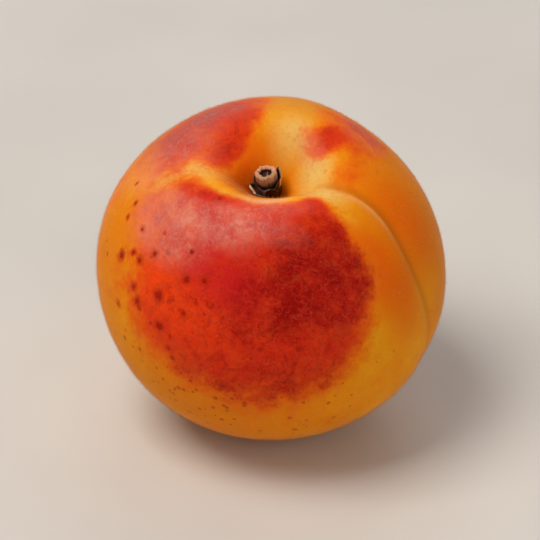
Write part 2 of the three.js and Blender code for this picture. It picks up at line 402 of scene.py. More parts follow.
def bloom_masks(skin, polar, around):
    """The haze over the red, partly the skin's bloom and partly painted sheen, and the painted highlight
    along the hollow's front lip.
    """
    lip_polar = 19.2 - 0.0015 * (around + 80) ** 2
    return {
        "bloom_and_sheen": together(
            patch(skin, 35, -108, 5, 15, tilt=-8, soft=0.8),
            0.95 * patch(skin, 42, -120, 9, 14, soft=0.7),
            0.9 * patch(skin, 29.5, -80, 4.5, 13, soft=0.9),
            0.5 * patch(skin, 23, -60, 3, 9, soft=0.9),
            0.6 * patch(skin, 15.5, 60, 3, 5, soft=0.9),
            0.5 * patch(skin, 38, 58, 7, 8, soft=0.7),
            0.6 * patch(skin, 38, -172, 14, 12, soft=0.9),
        ),
        "dusk": together(
            patch(skin, 32, 158, 7, 12, tilt=-8, soft=0.8),
            0.5 * patch(skin, 42, 172, 10, 12, soft=0.9),
            0.6 * patch(skin, 28, 141, 6, 9, soft=0.9),
        ),
        # Painted highlight along the hollow's front lip.
        "lip": 0.95 * bell(polar - lip_polar, 1.7) * band(around, -88, -46, 18, 18),
    }


def ground_masks(skin, polar, around):
    """The tones of the skin under the blush, and the painted shade round the stalk's foot."""
    return {
        "pale": together(
            patch(skin, 15, 30, 5, 7, soft=0.8),
            0.9 * patch(skin, 21, -8, 7, 5, soft=0.9),
            0.5 * patch(skin, 24, -150, 8, 7, soft=0.9),
            0.4 * patch(skin, 36, -149, 4, 8, soft=0.8),
            0.8 * patch(skin, 15, 86, 5, 6, soft=0.9),
            0.3 * patch(skin, 20, -74, 2.5, 22, soft=0.8),
        ),
        "amber": together(
            0.7 * patch(skin, 12, 130, 5, 7, soft=0.8),
            0.6 * patch(skin, 5, -90, 9, 9, soft=0.8),
            0.85 * patch(skin, 50, 16, 22, 15, soft=0.8),
            0.6 * patch(skin, 74, 40, 40, 36, soft=0.8),
            0.9 * patch(skin, 58, -10, 20, 9, soft=0.9),
            0.6 * patch(skin, 70, -142, 22, 14, soft=0.8),
            0.7 * patch(skin, 104, -74, 22, 44, soft=0.8),
        ),
        "ochre": together(
            0.8 * patch(skin, 29, 107, 9, 20, soft=0.8),
            0.4 * patch(skin, 70, 100, 40, 40, soft=0.9),
        ),
        "ember": together(
            0.75 * bell(polar, 8),
            0.8 * patch(skin, 11, 165, 5, 6, soft=0.9),
            0.7 * patch(skin, 11, -135, 7, 8, soft=0.8),
            0.5 * patch(skin, 52, 14, 16, 9, soft=0.9),
            0.5 * patch(skin, 62, -14, 16, 8, soft=0.9),
            0.8 * patch(skin, 50, -19, 10, 6, soft=0.8),
        ),
        # Painted shade round the stalk's foot: strongest on its left, with a wedge in front of it down
        # to the lip.
        "foot": together(
            bell(polar, 8.5) * (0.45 - 0.45 * np.cos(np.radians(around + TURN - 30))),
            0.5 * (1 - smoothstep(polar, 13.5, 19)) * bell(angle_from(around, -97), 30),
            0.35 * patch(skin, 9, -155, 4, 4, soft=0.9),
        ),
    }


def freckle_masks(skin, polar):
    return {
        "freckles": together(
            patch(skin, 62, -118, 20, 26, soft=0.6),
            0.75 * patch(skin, 92, -75, 30, 55, soft=0.6),
            0.3 * smoothstep(polar, 25, 45),
        ),
        "speckles": patch(skin, 96, -72, 26, 48, soft=0.7),
        "spots": freckle_field(skin),
    }


def colour_masks(polar, around):
    """Named masks on the skin, from 0 to 1. around is 0 at the seam and negative on the front cheek."""
    skin = directions(polar, around)
    around = angle_from(around, 0)
    return {
        **red_masks(skin, polar, around),
        **bloom_masks(skin, polar, around),
        **ground_masks(skin, polar, around),
        **freckle_masks(skin, polar),
        **seam_masks(polar, around),
    }


# ---- Materials ----

STROKE_SQUASH = 0.36  # a stroke's width for its length


def srgb(text):
    """Linear colour from a hex colour."""
    values = [int(text[i : i + 2], 16) / 255 for i in (0, 2, 4)]
    linear = [v / 12.92 if v <= 0.04045 else ((v + 0.055) / 1.055) ** 2.4 for v in values]
    return (*linear, 1.0)


class Shader:
    """A material's nodes, made by short calls that each return an output socket."""

    def __init__(self, name):
        self.material = bpy.data.materials.new(name)
        self.material.use_nodes = True
        self.nodes = self.material.node_tree.nodes
        self.links = self.material.node_tree.links
        self.surface = self.nodes["Principled BSDF"]

    def put(self, socket, value):
        if isinstance(value, bpy.types.NodeSocket):
            self.links.new(value, socket)
        else:
            socket.default_value = value

    def place(self):
        """Position on the part, in millimetres."""
        position = self.nodes.new("ShaderNodeTexCoord").outputs["Object"]
        scale = self.nodes.new("ShaderNodeVectorMath")
        scale.operation = "SCALE"
        self.put(scale.inputs[0], position)
        scale.inputs["Scale"].default_value = 1 / MM
        return scale.outputs[0]

    def stretch(self, vector, scale, turn=(0, 0, 0)):
        mapping = self.nodes.new("ShaderNodeMapping")
        self.put(mapping.inputs["Vector"], vector)
        mapping.inputs["Scale"].default_value = scale
        mapping.inputs["Rotation"].default_value = [math.radians(a) for a in turn]
        return mapping.outputs[0]

    def noise(self, vector, size, detail=2.0, rough=0.5, swirl=0.0):
        """Noise whose features are about size millimetres across."""
        node = self.nodes.new("ShaderNodeTexNoise")
        self.put(node.inputs["Vector"], vector)
        node.inputs["Scale"].default_value = 1 / size
        node.inputs["Detail"].default_value = detail
        node.inputs["Roughness"].default_value = rough
        node.inputs["Distortion"].default_value = swirl
        return node.outputs["Fac"]

    def cells(self, vector, size, output="Distance"):
        node = self.nodes.new("ShaderNodeTexVoronoi")
        self.put(node.inputs["Vector"], vector)
        node.inputs["Scale"].default_value = 1 / size
        return node.outputs[output]

    def mask(self, name):
        node = self.nodes.new("ShaderNodeAttribute")
        node.attribute_name = name
        return node.outputs["Fac"]

    def facing(self):
        """0 where the surface faces the viewer, 1 where it is seen edge-on."""
        return self.nodes.new("ShaderNodeLayerWeight").outputs["Facing"]

    def maths(self, operation, *values):
        node = self.nodes.new("ShaderNodeMath")
        node.operation = operation
        for socket, value in zip(node.inputs, values):
            self.put(socket, value)
        return node.outputs[0]

    def plus(self, a, b):
        return self.maths("ADD", a, b)

    def minus(self, a, b):
        return self.maths("SUBTRACT", a, b)

    def times(self, first, *others):
        for other in others:
            first = self.maths("MULTIPLY", first, other)
        return first

    def ramp(self, value, low, high, to_low=0.0, to_high=1.0):
        """Goes smoothly from to_low to to_high as value goes from low to high."""
        node = self.nodes.new("ShaderNodeMapRange")
        node.interpolation_type = "SMOOTHSTEP"
        for name, number in (
            ("Value", value),
            ("From Min", low),
            ("From Max", high),
            ("To Min", to_low),
            ("To Max", to_high),
        ):
            self.put(node.inputs[name], number)
        return node.outputs["Result"]

    def mix(self, factor, a, b):
        """Colour a where factor is 0, and b where it is 1."""
        node = self.nodes.new("ShaderNodeMix")
        node.data_type = "RGBA"
        self.put(node.inputs["Factor"], factor)
        self.put(node.inputs[6], a)
        self.put(node.inputs[7], b)
        return node.outputs[2]

    def paint(self, under, text, amount):
        """Lays a hex colour over what is under it."""
        return self.mix(amount, under, srgb(text))

    def between(self, value, low, high, a, b):
        """Goes from hex colour a to b as value goes from low to high."""
        return self.mix(self.ramp(value, low, high), srgb(a), srgb(b))

    def bump(self, height, distance, strength=1.0):
        node = self.nodes.new("ShaderNodeBump")
        self.put(node.inputs["Height"], height)
        node.inputs["Distance"].default_value = distance * MM
        node.inputs["Strength"].default_value = strength
        return node.outputs["Normal"]

    def finish(self, **settings):
        for name, value in settings.items():
            self.put(self.surface.inputs[name.replace("_", " ")], value)
        return self.material


class SkinShader(Shader):
    """A shader with the noises that the skin's colours share, from coarse to fine."""

    def __init__(self, name):
        super().__init__(name)
        self.where = self.place()
        self.edge_on = self.facing()
        self.patchy = self.noise(self.where, 5.5, 3.0, 0.55, swirl=0.3)
        self.edge = self.noise(self.where, 3.2, 4.0, 0.6, swirl=0.25)
        self.blotch = self.noise(self.where, 2.0, 3.0, 0.6, swirl=0.8)
        self.fleck = self.noise(self.where, 0.6, 3.0, 0.65)
        ragged = self.times(self.minus(self.edge, 0.5), 0.9)
        grainy = self.times(self.minus(self.fleck, 0.5), 0.35)
        self.uneven = self.plus(ragged, grainy)

    def strokes(self, width, turn):
        """Short soft strokes that run three ways: noise drawn out along three axes."""
        laid = 0.0
        for along in ((90, 0, 0), (0, 90, 0), (0, 0, 90)):
            way = self.stretch(self.where, (1, 1, 1), [a + b for a, b in zip(turn, along)])
            drawn = self.noise(self.stretch(way, (1, 1, STROKE_SQUASH)), width, 1.0, 0.5, swirl=0.8)
            laid = self.maths("MAXIMUM", laid, self.ramp(drawn, 0.54, 0.8))
        return laid

    def freckles(self, spacing, largest, amount):
        """Small ragged spots in some of the cells, their radius up to largest times spacing."""
        cell = self.cells(self.where, spacing)
        pick = self.cells(self.where, spacing, "Color")
        size = self.times(self.ramp(pick, 0.35, 0.9), amount)
        jag = self.plus(cell, self.times(self.minus(self.fleck, 0.5), 0.2))
        return self.ramp(self.minus(self.times(size, largest), jag), -0.08, 0.06)


def ground_colour(m):
    """Golden, paler and greener by the stalk, deeper amber away from the sun, with painted shade in the
    hollow round the stalk's foot.
    """
    slow = m.noise(m.where, 9.0, 2.0)
    ground = m.between(slow, 0.35, 0.65, "f29806", "f6a812")
    ground = m.paint(ground, "ea7804", m.mask("amber"))
    ground = m.paint(ground, "ee5600", m.mask("ember"))
    ground = m.paint(ground, "d88e2c", m.mask("ochre"))
    ground = m.paint(ground, "eac26a", m.mask("pale"))
    ground = m.paint(ground, "e07a06", m.ramp(m.fleck, 0.45, 0.75, 0, 0.3))
    # Painted shade: dark red-brown round the stalk's foot.
    return m.paint(ground, "841e02", m.mask("foot"))


def blushed(m, ground):
    """Blush: orange at its edge, then orange-red, crimson in its middle, broken up by the noise."""
    spread = m.plus(m.mask("blush"), m.uneven)
    broad = m.times(m.minus(m.patchy, 0.5), 1.4)
    deep = m.plus(m.plus(m.mask("deep"), broad), m.uneven)
    colour = m.paint(ground, "ec7008", m.ramp(spread, 0.05, 0.5))
    colour = m.paint(colour, "e4480e", m.ramp(spread, 0.35, 0.75))
    colour = m.paint(colour, "de2e0e", m.ramp(spread, 0.6, 1.1))
    darker = m.paint(colour, "a00a04", m.ramp(deep, 0.05, 1.1))
    colour = m.mix(m.ramp(spread, 0.35, 0.9), colour, darker)
    fire = m.times(m.mask("vivid"), m.ramp(spread, 0.3, 0.9))
    fire = m.times(fire, m.ramp(m.patchy, 0.62, 0.4, 0.45, 1.0))
    colour = m.paint(colour, "fe4a0c", fire)
    return mottled(m, colour, m.ramp(spread, 0.45, 0.85))


def mottled(m, colour, on_red):
    """Dark, brown and light marks in the red, and the places where it is salmon or pure red."""
    by_depth = m.ramp(m.mask("deep"), 0.0, 0.5, 0.35, 1.0)
    dark = m.times(on_red, m.ramp(m.blotch, 0.48, 0.7, 0, 0.6), by_depth)
    colour = m.paint(colour, "860a04", dark)
    brown = m.times(on_red, m.ramp(m.blotch, 0.46, 0.32, 0, 0.35))
    colour = m.paint(colour, "b04818", brown)
    dark_strokes = m.times(on_red, m.strokes(0.5, (50, 20, 70)), by_depth, 0.5)
    colour = m.paint(colour, "780804", dark_strokes)
    light_strokes = m.times(on_red, m.strokes(0.5, (20, 65, 30)), 0.5)
    colour = m.paint(colour, "d83a26", light_strokes)
    colour = m.paint(colour, "f67850", m.mask("salmon"))
    pure = m.times(m.mask("crimson"), m.ramp(m.blotch, 0.65, 0.4, 0.4, 1.0))
    return m.paint(colour, "ce1a20", pure)


def freckled(m, colour, large):
    """Small freckles, finer ones low on the front, and the halos of the large ones."""
    small = m.freckles(2.4, 0.24, m.mask("freckles"))
    colour = m.paint(colour, "9c1a06", m.times(small, 0.6))
    fine = m.freckles(1.15, 0.32, m.mask("speckles"))
    colour = m.paint(colour, "a82008", m.times(fine, 0.6))
    return m.paint(colour, "c22c06", m.ramp(large, 0.15, 0.6, 0, 0.6))


def bloomed(m, colour):
    """The haze over the red, partly bloom and partly painted sheen, with fine pale strokes in it, and
    the dusky red that shows edge-on.
    """
    haze = m.plus(m.times(m.edge, 0.5), m.times(m.blotch, 0.5))
    # Bloom and painted sheen: a pale pink veil on the upper front lobe and shoulders.
    veil = m.times(m.mask("bloom_and_sheen"), m.ramp(haze, 0.38, 0.62, 0.3, 0.85))
    colour = m.mix(veil, colour, m.between(m.patchy, 0.45, 0.65, "e2907c", "cc6c68"))
    dusk = m.times(m.mask("dusk"), m.ramp(haze, 0.38, 0.6, 0.5, 1.0))
    dusk = m.times(dusk, m.ramp(m.edge_on, 0.2, 0.6, 0.4, 1.0))
    colour = m.mix(dusk, colour, m.between(m.fleck, 0.35, 0.65, "a65a56", "bc6c66"))
    pale_strokes = m.times(m.mask("bloom_and_sheen"), m.strokes(0.45, (75, 10, 50)), 0.35)
    return m.paint(colour, "f0a48c", pale_strokes)


def outlined(m, colour):
    """The lip's painted highlight, the seam's painted shade and the painted highlight on the edge of the
    lobe beside it.
    """
    # Painted highlight on the lip, stronger where it is seen edge-on.
    lip = m.times(m.mask("lip"), m.ramp(m.edge_on, 0.25, 0.75, 0.25, 1.0))
    colour = m.paint(colour, "f2ae86", lip)
    # Painted highlight on the near lobe's edge beside the seam.
    colour = m.paint(colour, "f2ac62", m.times(m.mask("lobe_edge_highlight"), 0.6))
    return m.paint(colour, "b86004", m.times(m.mask("seam"), 0.5))


def skin_material():
    m = SkinShader("apricot_skin")
    large = m.plus(m.mask("spots"), m.times(m.uneven, 1.1))
    colour = blushed(m, ground_colour(m))
    colour = freckled(m, colour, large)
    colour = bloomed(m, colour)
    colour = outlined(m, colour)
    colour = m.paint(colour, "a20c00", m.ramp(large, 0.55, 0.85, 0, 0.9))

    # Painted sheen: a thin pale rim where the down is seen edge-on, kept out of the seam's crease.
    rim = m.times(m.ramp(m.edge_on, 0.7, 0.97, 0, 0.3), m.ramp(m.mask("crease"), 0.9, 0.1))
    colour = m.paint(colour, "eea274", rim)

    height = m.plus(m.noise(m.where, 0.35, 3.0, 0.6), m.times(m.blotch, 0.8))
    return m.finish(
        Base_Color=colour,
        Roughness=m.ramp(m.fleck, 0.3, 0.7, 0.5, 0.62),
        Normal=m.bump(height, 0.05, 0.6),
        Subsurface_Weight=0.06,
        Subsurface_Radius=(1.0, 0.3, 0.08),
        Subsurface_Scale=1.5 * MM,
        Sheen_Weight=0.06,
        Sheen_Roughness=0.15,
        Sheen_Tint=srgb("ffc8a0"),
        Specular_IOR_Level=0.05,
    )


def stalk_material():
    m = Shader("stalk_wood")
    place = m.place()
    fibre = m.noise(m.stretch(place, (1, 1, 0.25), (LEAN, 0, 0)), 0.35, 4.0, 0.6)
    blotch = m.noise(place, 1.1, 3.0, 0.6)
    colour = m.between(fibre, 0.38, 0.62, "5e3a20", "b68a60")
    colour = m.paint(colour, "41200f", m.ramp(blotch, 0.48, 0.68, 0, 0.75))
    # Pale cut wood on the rim, partly a painted highlight: faint on the rim's front.
    worn = m.times(m.mask("cut"), m.ramp(blotch, 0.65, 0.45, 0.3, 0.95))
    colour = m.paint(colour, "dc9c78", worn)
    bare = m.times(m.mask("beige"), m.ramp(fibre, 0.3, 0.6, 0.5, 1.0))
    colour = m.paint(colour, "c4966c", bare)
    colour = m.paint(colour, "3a0c08", m.mask("pith"))
    colour = m.paint(colour, "2c120a", m.mask("low"))
    return m.finish(
        Base_Color=colour,
        Roughness=m.ramp(fibre, 0.3, 0.7, 0.6, 0.8),
        Normal=m.bump(fibre, 0.06),
        Subsurface_Weight=0.05,
        Subsurface_Scale=0.4 * MM,
    )


def scale_material():
    m = Shader("bud_scale_wood")
    fibre = m.noise(m.stretch(m.place(), (1, 1, 0.3), (LEAN, 0, 0)), 0.4, 3.0, 0.6)
    colour = m.between(fibre, 0.3, 0.7, "140403", "32110a")
    colour = m.paint(colour, "ecc09a", m.mask("edge"))
    return m.finish(
        Base_Color=colour,
        Roughness=m.ramp(fibre, 0.3, 0.7, 0.38, 0.55),
        Normal=m.bump(fibre, 0.05),
        Specular_IOR_Level=0.35,
    )


def down_material():
    m = Shader("down")
    tint = m.noise(m.place(), 1.2, 2.0, 0.6)
    colour = m.mix(m.mask("redness"), srgb("e8983c"), srgb("ca503c"))
    pale = m.times(m.ramp(tint, 0.45, 0.7), m.ramp(m.mask("redness"), 0.2, 0.9, 0.5, 0.2))
    colour = m.paint(colour, "f0bc94", pale)
    # Painted shade on the hairs in the hollow round the stalk's foot.
    colour = m.paint(colour, "8a3a10", m.mask("shade"))
    return m.finish(
        Base_Color=colour,
        Roughness=m.ramp(tint, 0.3, 0.7, 0.8, 1.0),
        Specular_IOR_Level=0.1,
    )


# ---- Meshes ----


def add_piece(mesh, material, masks):
    """Puts a mesh in the scene as a smooth piece that rides on the part, its masks as attributes."""
    mesh.shade_smooth()
    for name, values in masks.items():
        layer = mesh.attributes.new(name, "FLOAT", "POINT")
        layer.data.foreach_set("value", np.ascontiguousarray(values, dtype=np.float32).ravel())
    mesh.materials.append(material)
    piece = bpy.data.objects.new(mesh.name, mesh)
    bpy.context.scene.collection.objects.link(piece)
    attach(piece, "root")
    return piece


def new_mesh(name, points, faces):
    """A mesh from points in world millimetres."""
    mesh = bpy.data.meshes.new(name)
    mesh.from_pydata((points * MM).tolist(), [], faces)
    mesh.update()
    return mesh


def ring_index(row, column, columns):
    """Number of a point in rings of points that follow one single point."""
    return 1 + row * columns + column % columns


def skin_faces():
    """Faces of the skin, rings from the stalk to the tip, and each corner's place when unrolled."""
    faces, uv = [], []
    tip = 1 + (RINGS - 1) * MERIDIANS
    for column in range(MERIDIANS):
        left, right = column / MERIDIANS, (column + 1) / MERIDIANS
        middle = (left + right) / 2
        faces.append((0, ring_index(0, column, MERIDIANS), ring_index(0, column + 1, MERIDIANS)))
        uv += [(middle, 1), (left, 1 - 1 / RINGS), (right, 1 - 1 / RINGS)]
        for row in range(1, RINGS - 1):
            top, low = 1 - row / RINGS, 1 - (row + 1) / RINGS
            corners = ((row - 1, column), (row, column), (row, column + 1), (row - 1, column + 1))
            faces.append(tuple(ring_index(r, c, MERIDIANS) for r, c in corners))
            uv += [(left, top), (left, low), (right, low), (right, top)]
        last = RINGS - 2
        faces.append((ring_index(last, column, MERIDIANS), tip, ring_index(last, column + 1, MERIDIANS)))
        uv += [(left, 1 / RINGS), (middle, 0), (right, 1 / RINGS)]
    return faces, np.array(uv)


def fruit():
    """The whole skin, its rings closer at the stalk and its meridians closer at the seam."""
    rows = np.linspace(0, math.pi, RINGS + 1)
    columns = np.linspace(-math.pi, math.pi, MERIDIANS, endpoint=False)
    polar = np.degrees(rows - 0.5 * POLE_CROWDING * np.sin(2 * rows))
    from_seam = np.degrees(columns - SEAM_CROWDING * np.sin(columns))
    polar, from_seam = np.meshgrid(polar[1:-1], from_seam, indexing="ij")
    polar = np.concatenate([[0.0], polar.ravel(), [180.0]])
    from_seam = np.concatenate([[0.0], from_seam.ravel(), [0.0]])

    points = to_world(skin_points(polar, from_seam))
    outward = points - np.array([0, 0, REST_HEIGHT])
    outward /= np.linalg.norm(outward, axis=1, keepdims=True)
    lift = LUMP_HEIGHT * field(points, LUMP_SIZE) + GRAIN_HEIGHT * field(points, GRAIN_SIZE)
    points = press_flat(points + outward * lift[:, None])

    faces, uv = skin_faces()
    mesh = new_mesh("apricot_fruit", points, faces)
    layer = mesh.uv_layers.new(name="OFBake")
    layer.data.foreach_set("uv", uv.astype(np.float32).ravel())
    masks = colour_masks(polar, from_seam + seam_bow(polar))
    piece = add_piece(mesh, skin_material(), masks)
    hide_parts("fruit")


def stalk_points(points):
    """From the stalk's own frame, +Z along it from the hollow's bottom, to the world's."""
    leaning = turned("X", -STALK_LEAN_BACK) @ turned("Y", -STALK_LEAN_LEFT)
    bottom = to_world(skin_points(np.float64(0), np.float64(0)))
    return points @ (leaning @ turn_matrix()).T + bottom


def lathe_faces(rows, columns):
    """Faces of rings of points, with one point to close each end."""
    last = 1 + rows * columns
    faces = []
    for column in range(columns):
        faces.append((0, ring_index(0, column + 1, columns), ring_index(0, column, columns)))
        for row in range(rows - 1):
            corners = ((row, column), (row, column + 1), (row + 1, column + 1), (row + 1, column))
            faces.append(tuple(ring_index(r, c, columns) for r, c in corners))
        top = rows - 1
        faces.append((ring_index(top, column, columns), ring_index(top, column + 1, columns), last))
    return faces


def waves(angle, terms):
    """A sum of sine waves round the stalk's axis."""
    return sum(height * np.sin(count * angle + phase) for height, count, phase in terms)


def stalk_side():
    """Radius and height up the stalk's side, over the rim and down into the pith's hollow."""
    taper, swell = NECK_RADIUS - FOOT_RADIUS, HEAD_RADIUS - NECK_RADIUS
    side = [(FOOT_RADIUS, h) for h in np.linspace(-STALK_SUNK, 0, 4)]
    for t in np.linspace(0.1, 1, 10):
        side.append((FOOT_RADIUS + taper * t, HEAD_START * t))
    for t in np.linspace(0.12, 1, 8):
        side.append((NECK_RADIUS + swell * math.sin(t * math.pi / 2), HEAD_START + SWELL_LENGTH * t))
    side += [(HEAD_RADIUS, h) for h in np.linspace(HEAD_START + 1.55, STALK_TOP - 0.4, 6)]
    rim = (HEAD_RADIUS - PITH_RADIUS) / 2
    for turn in np.linspace(15, 165, 9):
        c, s = math.cos(math.radians(turn)), math.sin(math.radians(turn))
        side.append((PITH_RADIUS + rim + rim * c, STALK_TOP - RIM_ROUNDING + RIM_ROUNDING * s))
    for t in np.linspace(0.2, 1, 5):
        side.append((PITH_RADIUS * (1 - 0.12 * t), STALK_TOP - 0.35 - (PITH_DEPTH - 0.35) * t))
    side += [(r, STALK_TOP - PITH_DEPTH) for r in (0.7, 0.55, 0.4, 0.25, 0.12)]
    return np.array(side)


def stalk():
    """The woody stub: neck, swollen head, ragged rim and a split pith in the cut end."""
    side = stalk_side()
    radius, height = side[:, :1], side[:, 1:]
    angle = np.linspace(0, 2 * math.pi, STALK_SIDES, endpoint=False)[None, :]
    head = smoothstep(height, HEAD_START, HEAD_START + 1)
    inside = (radius < PITH_RADIUS - 0.01) & (height < STALK_TOP - RIM_ROUNDING)
    radius = radius * (1 + waves(angle, STALK_LOBES) * (NECK_SHARE + (1 - NECK_SHARE) * head))
    at_cut = smoothstep(height, STALK_TOP - 1.2, STALK_TOP - 0.2) * ~inside
    height = height + waves(angle, CUT_WAVES) * at_cut
    x, y = radius * np.cos(angle), radius * np.sin(angle)
    sliver = bell(x - 0.2 + 0.35 * y, 0.1) * (1 - smoothstep(np.abs(y), 0.5, 0.9))
    height = height + inside * sliver * 0.5 * PITH_DEPTH
    rings = np.stack([x, y, np.broadcast_to(height, x.shape)], -1)
    bark = field(rings.reshape(-1, 3) * np.array([1, 1, BARK_SQUASH]), BARK_SIZE)
    rings = rings * (1 + BARK_DEPTH * bark.reshape(x.shape)[..., None] * np.array([1, 1, 0]))
    points = np.concatenate(
        [[[0, 0, -STALK_SUNK]], rings.reshape(-1, 3), [[0, 0, STALK_TOP - PITH_DEPTH + 0.2]]]
    )

    within = np.concatenate([[0.0], np.broadcast_to(inside, x.shape).ravel(), [1.0]])
    ridge = np.concatenate([[0.0], (inside * sliver).ravel(), [0.4]])
    faces = lathe_faces(len(side), STALK_SIDES)
    mesh = new_mesh("apricot_stem", stalk_points(points), faces)
    piece = add_piece(mesh, stalk_material(), stalk_masks(points, within, ridge))
    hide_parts("stem")


def stalk_masks(points, within, ridge):
    """Masks of the cut rim, pale wood with a painted highlight and faint on its front, the weathered
    side, the pith and the dark foot. within is 1 in the pith.
    """
    height = points[:, 2]
    turn = np.arctan2(points[:, 1], points[:, 0]) - math.radians(STALK_PALE_SIDE)
    pale_side = smoothstep(np.cos(turn), 0.1, 0.8)
    rim = smoothstep(height, STALK_TOP - 0.55, STALK_TOP - 0.25) * (1 - within)
    head = smoothstep(height, STALK_TOP - 1.7, STALK_TOP - 0.8) * (1 - within)
    return {
        "cut": np.maximum(rim * (1 - 0.8 * pale_side), 0.5 * ridge),
        "beige": 0.8 * pale_side * head,
        "pith": within * (1 - 0.9 * ridge),
        "low": 1 - smoothstep(height, STALK_TOP - 2.7, STALK_TOP - 1.5),
    }


def blade_faces(across, along):
    """Faces of two sheets of points, front and back, joined all round their border."""
    back = across * along
    faces = []
    for row in range(along - 1):
        for column in range(across - 1):
            a = row * across + column
            quad = (a, a + 1, a + across + 1, a + across)
            faces.append(quad)
            faces.append(tuple(i + back for i in reversed(quad)))
    border = list(range(across))
    border += [row * across + across - 1 for row in range(1, along)]
    border += [(along - 1) * across + column for column in range(across - 2, -1, -1)]
    border += [row * across for row in range(along - 2, 0, -1)]
    for i, a in enumerate(border):
        b = border[(i + 1) % len(border)]
        faces.append((a, a + back, b + back, b))
    return faces


def scale_blade(angle, foot, top, foot_radius, flare, half_width, wear, rng):
    """One bud scale: a thin blade wrapped round the stalk, its edges and tip thinner and curled."""
    u, v = np.meshgrid(np.linspace(-1, 1, BLADE_ACROSS), np.linspace(0, 1, BLADE_ALONG))
    outline = np.sqrt(np.clip(1 - v**3.2, 0.004, 1)) * (0.82 + 0.3 * np.sin(math.pi * v**0.8))
    curl = rng.uniform(*BLADE_CURL)
    sway = rng.uniform(*BLADE_SWAY)
    radius = foot_radius + flare * v + curl * v**3 - 0.18 * (1 - u**2) * v
    height = foot + (top - foot) * v + 0.10 * np.sin(5 * u + 9 * sway) * v**2
    around = angle + (half_width * outline * u + sway * v**2) / radius
    half = 0.5 * SCALE_THICKNESS * (1 - 0.75 * v) * (1 - 0.6 * u**2) + 0.02
    sheets = []
    for r in (radius + half, radius - half):
        sheets.append(np.stack([r * np.cos(around), r * np.sin(around), height], -1).reshape(-1, 3))

    worn = np.zeros_like(u)
    for side, amount in ((-1, wear[0]), (1, wear[1])):
        strip = smoothstep(side * u, 0.9 - 0.8 * amount, 1.0 - 0.6 * amount)
        worn = np.maximum(worn, min(amount, 1) * strip * smoothstep(v, 0.2, 0.45))
    faces = blade_faces(BLADE_ACROSS, BLADE_ALONG)
    return np.concatenate(sheets), faces, np.tile(worn.ravel(), 2)


def scale_whorls(rng):
    """The blades of both whorls, the outer one first."""
    blades = []
    for i in range(SCALE_COUNT):
        angle = i * 2 * math.pi / SCALE_COUNT
        tallness = math.cos(angle + math.radians(TURN - SCALE_TALL_SIDE))
        top = SCALE_MEAN_TOP + SCALE_TOP_SWING * tallness + rng.uniform(*SCALE_UNEVEN)
        radius = SCALE_RADIUS + SCALE_STAGGER * (i % 2)
        flare = SCALE_FLARE + SCALE_FLARE_SWING * tallness
        blade = scale_blade(angle, SCALE_FOOT, top, radius, flare, SCALE_HALF_WIDTH, SCALE_WEAR[i], rng)
        blades.append(blade)
    for i in range(INNER_COUNT):
        angle = (i + 0.4) * 2 * math.pi / INNER_COUNT
        top = INNER_TOP + rng.uniform(*INNER_UNEVEN)
        blade = scale_blade(
            angle, INNER_FOOT, top, INNER_RADIUS, INNER_FLARE, INNER_HALF_WIDTH, INNER_WEAR, rng
        )
        blades.append(blade)
    return blades


def scale_ring():
    """The woody ring that the scales grow from."""
    side = np.array(RING_SIDE)
    angle = np.linspace(0, 2 * math.pi, RING_SIDES, endpoint=False)[None, :]
    radius = side[:, :1] * (1 + waves(angle, RING_LOBES))
    height = side[:, 1:] + waves(angle, RING_WAVES)
    ring = np.stack([radius * np.cos(angle), radius * np.sin(angle), height], -1).reshape(-1, 3)
    ring = np.concatenate([[[0, 0, 0.5]], ring, [[0, 0, 2.6]]])
    return ring, lathe_faces(len(side), RING_SIDES), np.zeros(len(ring))


def bud_scales():
    """The dark rosette of bud scales round the stalk's foot: a woody ring and two whorls of blades."""
    parts = scale_whorls(np.random.default_rng(7)) + [scale_ring()]
    points, faces, worn = [], [], []
    start = 0
    for part_points, part_faces, part_worn in parts:
        points.append(part_points)
        faces += [tuple(i + start for i in face) for face in part_faces]
        worn.append(part_worn)
        start += len(part_points)
    mesh = new_mesh("apricot_bud_scales", stalk_points(np.concatenate(points)), faces)
    piece = add_piece(mesh, scale_material(), {"edge": np.concatenate(worn)})
    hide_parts("bud_scales")


# ---- Down: the short fine hairs all over the skin ----


def skin_axes(polar, from_seam):
    """Points of the skin, with the directions straight out, towards the tip and sideways there."""
    step = 0.05
    root = skin_points(polar, from_seam)
    to_tip = skin_points(polar + step, from_seam) - root
    to_side = skin_points(polar, from_seam + step) - root
    normal = np.cross(to_tip, to_side)
    normal /= np.linalg.norm(normal, axis=1, keepdims=True)
    to_tip /= np.linalg.norm(to_tip, axis=1, keepdims=True)
    return root, normal, to_tip, np.cross(normal, to_tip)


def hair_corners(root, normal, to_tip, sideways, mean_length, rng):
    """Each hair's three corners under the skin and its tip. The hairs lean in slow swirls."""
    count = len(root)
    heading = DOWN_SWIRL * field(root, DOWN_SWIRL_SIZE) + rng.normal(0, DOWN_TOUSLE, count)
    lean = np.radians(rng.uniform(*DOWN_LEAN, count))
    flat = to_tip * np.cos(heading)[:, None] + sideways * np.sin(heading)[:, None]
    direction = normal * np.cos(lean)[:, None] + flat * np.sin(lean)[:, None]
    length = mean_length * rng.uniform(*DOWN_LENGTHS, count)
    across = np.cross(direction, normal + 0.01 * to_tip)
    across /= np.linalg.norm(across, axis=1, keepdims=True)
    third = np.cross(direction, across)

    foot = root - DOWN_ROOT * normal
    corners = []
    for turn in (0, 120, 240):
        c, s = math.cos(math.radians(turn)), math.sin(math.radians(turn))
        corners.append(foot + DOWN_RADIUS * (c * across + s * third))
    corners.append(foot + direction * (length + DOWN_ROOT)[:, None])
    return np.stack(corners, 1)


